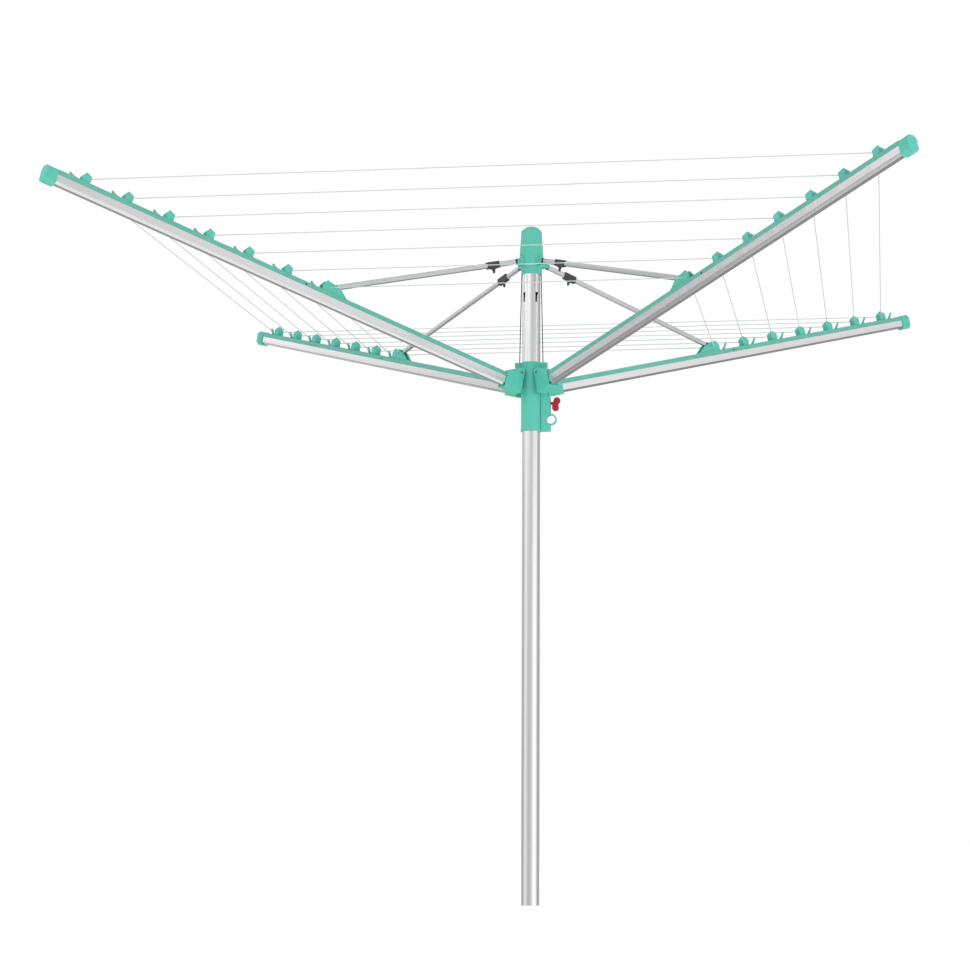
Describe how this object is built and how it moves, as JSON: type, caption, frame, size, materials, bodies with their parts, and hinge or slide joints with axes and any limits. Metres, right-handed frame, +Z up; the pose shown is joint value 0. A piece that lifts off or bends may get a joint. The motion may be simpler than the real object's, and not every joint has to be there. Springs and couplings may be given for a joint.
{
  "type": "rotary clothesline",
  "caption": "Free-turning umbrella clothesline: round post and mast, folding sloped arms braced by struts, rings of line between the arms, sliding hub with clamp knob.",
  "frame": {"origin": "centre of the ground post's lower end", "axes": "+Z up along the post; +X towards the clamp knob and hanging eye; the arms lie on the diagonals between the axes"},
  "size_m": [2.1148, 2.1148, 1.867],
  "materials": {
    "aluminium_tube": "satin",
    "aluminium_profile": "satin",
    "teal_plastic": "satin moulded",
    "dark_plastic": "matte moulded",
    "red_plastic": "satin moulded",
    "bearing_plastic": "matte moulded",
    "steel_pin": "turned",
    "black_cord": "braided",
    "line_plastic": "smooth sheath",
    "dark_weight": "cast"
  },
  "bodies": {
    "post": {"ground_post": "aluminium_tube", "bearing_spigot": "bearing_plastic"},
    "mast": {"mast_tube": "aluminium_tube", "head_collar": "teal_plastic", "top_cap": "teal_plastic", "pulley_axles": "steel_pin", "strut_head_pins": "steel_pin"},
    "pulley_left": {"pulley_left": "bearing_plastic"},
    "pulley_right": {"pulley_right": "bearing_plastic"},
    "lift_cord": {"lift_cords": "black_cord"},
    "cord_weight": {"cord_weight": "dark_weight", "inner_cords": "black_cord"},
    "hub": {"hub_body": "teal_plastic", "lock_housing": "teal_plastic", "hub_arm_pins": "steel_pin"},
    "lock_screw": {"lock_screw": "red_plastic"},
    "strut_front_right": {"strut_front_right_tube": "aluminium_profile", "strut_front_right_ends": "dark_plastic", "strut_front_right_hook": "dark_plastic"},
    "arm_front_right": {"arm_front_right_profile": "aluminium_profile", "arm_front_right_guide_rail": "teal_plastic", "arm_front_right_strut_bracket": "teal_plastic", "arm_front_right_end_cap": "teal_plastic", "arm_front_right_knuckle": "teal_plastic", "arm_front_right_lines": "line_plastic", "arm_front_right_strut_pin": "steel_pin"},
    "tensioner_front_right": {"arm_front_right_tensioner": "dark_plastic"},
    "strut_rear_right": {"strut_rear_right_tube": "aluminium_profile", "strut_rear_right_ends": "dark_plastic", "strut_rear_right_hook": "dark_plastic"},
    "arm_rear_right": {"arm_rear_right_profile": "aluminium_profile", "arm_rear_right_guide_rail": "teal_plastic", "arm_rear_right_strut_bracket": "teal_plastic", "arm_rear_right_end_cap": "teal_plastic", "arm_rear_right_knuckle": "teal_plastic", "arm_rear_right_lines": "line_plastic", "arm_rear_right_strut_pin": "steel_pin"},
    "tensioner_rear_right": {"arm_rear_right_tensioner": "dark_plastic"},
    "strut_rear_left": {"strut_rear_left_tube": "aluminium_profile", "strut_rear_left_ends": "dark_plastic", "strut_rear_left_hook": "dark_plastic"},
    "arm_rear_left": {"arm_rear_left_profile": "aluminium_profile", "arm_rear_left_guide_rail": "teal_plastic", "arm_rear_left_strut_bracket": "teal_plastic", "arm_rear_left_end_cap": "teal_plastic", "arm_rear_left_knuckle": "teal_plastic", "arm_rear_left_lines": "line_plastic", "arm_rear_left_strut_pin": "steel_pin"},
    "tensioner_rear_left": {"arm_rear_left_tensioner": "dark_plastic"},
    "strut_front_left": {"strut_front_left_tube": "aluminium_profile", "strut_front_left_ends": "dark_plastic", "strut_front_left_hook": "dark_plastic"},
    "arm_front_left": {"arm_front_left_profile": "aluminium_profile", "arm_front_left_guide_rail": "teal_plastic", "arm_front_left_strut_bracket": "teal_plastic", "arm_front_left_end_cap": "teal_plastic", "arm_front_left_knuckle": "teal_plastic", "arm_front_left_lines": "line_plastic", "arm_front_left_strut_pin": "steel_pin"},
    "tensioner_front_left": {"arm_front_left_tensioner": "dark_plastic"}
  },
  "joints": [
    {"name": "spin", "type": "hinge", "parent": "post", "child": "mast", "pos_m": [0, 0, 1.291], "axis": [0, 0, 1], "continuous": true},
    {"name": "fold", "type": "hinge", "parent": "mast", "child": "strut_front_right", "pos_m": [0.03111, -0.03111, 1.76499], "axis": [0.7071, 0.7071, 0], "range_deg": [0, 71], "deforming": ["arm_front_right_lines", "arm_rear_right_lines", "arm_rear_left_lines", "arm_front_left_lines"]},
    {"name": "arm_front_right_pivot", "type": "hinge", "parent": "strut_front_right", "child": "arm_front_right", "pos_m": [0.46028, -0.46028, 1.60749], "axis": [0.7071, 0.7071, 0], "range_deg": [-142, 0]},
    {"name": "hub_pivot", "type": "hinge", "parent": "arm_front_right", "child": "hub", "pos_m": [0.03111, -0.03111, 1.45], "axis": [0.7071, 0.7071, 0], "range_deg": [0, 71]},
    {"name": "arm_rear_right_pivot", "type": "hinge", "parent": "hub", "child": "arm_rear_right", "pos_m": [0.03111, 0.03111, 1.45], "axis": [-0.7071, 0.7071, 0], "range_deg": [-71, 0]},
    {"name": "strut_rear_right_pivot", "type": "hinge", "parent": "arm_rear_right", "child": "strut_rear_right", "pos_m": [0.46028, 0.46028, 1.60749], "axis": [-0.7071, 0.7071, 0], "range_deg": [0, 142]},
    {"name": "arm_rear_left_pivot", "type": "hinge", "parent": "hub", "child": "arm_rear_left", "pos_m": [-0.03111, 0.03111, 1.45], "axis": [-0.7071, -0.7071, 0], "range_deg": [-71, 0]},
    {"name": "strut_rear_left_pivot", "type": "hinge", "parent": "arm_rear_left", "child": "strut_rear_left", "pos_m": [-0.46028, 0.46028, 1.60749], "axis": [-0.7071, -0.7071, 0], "range_deg": [0, 142]},
    {"name": "arm_front_left_pivot", "type": "hinge", "parent": "hub", "child": "arm_front_left", "pos_m": [-0.03111, -0.03111, 1.45], "axis": [0.7071, -0.7071, 0], "range_deg": [-71, 0]},
    {"name": "strut_front_left_pivot", "type": "hinge", "parent": "arm_front_left", "child": "strut_front_left", "pos_m": [-0.46028, -0.46028, 1.60749], "axis": [0.7071, -0.7071, 0], "range_deg": [0, 142]},
    {"name": "tensioner_front_right_slide", "type": "slide", "parent": "arm_front_right", "child": "tensioner_front_right", "axis": [-0.6846, 0.6846, -0.2504], "range_m": [0, 0.5001]},
    {"name": "tensioner_rear_right_slide", "type": "slide", "parent": "arm_rear_right", "child": "tensioner_rear_right", "axis": [-0.6846, -0.6846, -0.2504], "range_m": [0, 0.5001]},
    {"name": "tensioner_rear_left_slide", "type": "slide", "parent": "arm_rear_left", "child": "tensioner_rear_left", "axis": [0.6846, -0.6846, -0.2504], "range_m": [0, 0.5001]},
    {"name": "tensioner_front_left_slide", "type": "slide", "parent": "arm_front_left", "child": "tensioner_front_left", "axis": [0.6846, 0.6846, -0.2504], "range_m": [0, 0.5001]},
    {"name": "lift_cord_run", "type": "slide", "parent": "mast", "child": "lift_cord", "axis": [0, 0, -1], "range_m": [0, 0.9354], "deforming": ["lift_cords"]},
    {"name": "cord_weight_rise", "type": "slide", "parent": "mast", "child": "cord_weight", "axis": [0, 0, 1], "range_m": [0, 0.9354], "deforming": ["inner_cords"]},
    {"name": "pulley_right_turn", "type": "hinge", "parent": "mast", "child": "pulley_right", "pos_m": [0.0198, 0, 1.8], "axis": [0, 1, 0], "range_deg": [0, 7147]},
    {"name": "pulley_left_turn", "type": "hinge", "parent": "mast", "child": "pulley_left", "pos_m": [-0.0198, 0, 1.8], "axis": [0, -1, 0], "range_deg": [0, 7147]},
    {"name": "lock_screw_turn", "type": "hinge", "parent": "hub", "child": "lock_screw", "pos_m": [0.06, 0, 1.368], "axis": [0.9781, 0, -0.2079], "range_deg": [0, 360]}
  ],
  "couplings": [
    {"joint": "arm_front_right_pivot", "follows": "fold", "ratio": -2},
    {"joint": "hub_pivot", "follows": "fold", "ratio": 1},
    {"joint": "arm_rear_right_pivot", "follows": "fold", "ratio": -1},
    {"joint": "strut_rear_right_pivot", "follows": "fold", "ratio": 2},
    {"joint": "arm_rear_left_pivot", "follows": "fold", "ratio": -1},
    {"joint": "strut_rear_left_pivot", "follows": "fold", "ratio": 2},
    {"joint": "arm_front_left_pivot", "follows": "fold", "ratio": -1},
    {"joint": "strut_front_left_pivot", "follows": "fold", "ratio": 2},
    {"joint": "tensioner_front_right_slide", "follows": "fold", "m_per_rad": 0.40349},
    {"joint": "tensioner_rear_right_slide", "follows": "fold", "m_per_rad": 0.40349},
    {"joint": "tensioner_rear_left_slide", "follows": "fold", "m_per_rad": 0.40349},
    {"joint": "tensioner_front_left_slide", "follows": "fold", "m_per_rad": 0.40349},
    {"joint": "lift_cord_run", "follows": "fold", "m_per_rad": 0.75477},
    {"joint": "cord_weight_rise", "follows": "fold", "m_per_rad": 0.75477},
    {"joint": "pulley_right_turn", "follows": "fold", "ratio": 100.64},
    {"joint": "pulley_left_turn", "follows": "fold", "ratio": 100.64}
  ]
}
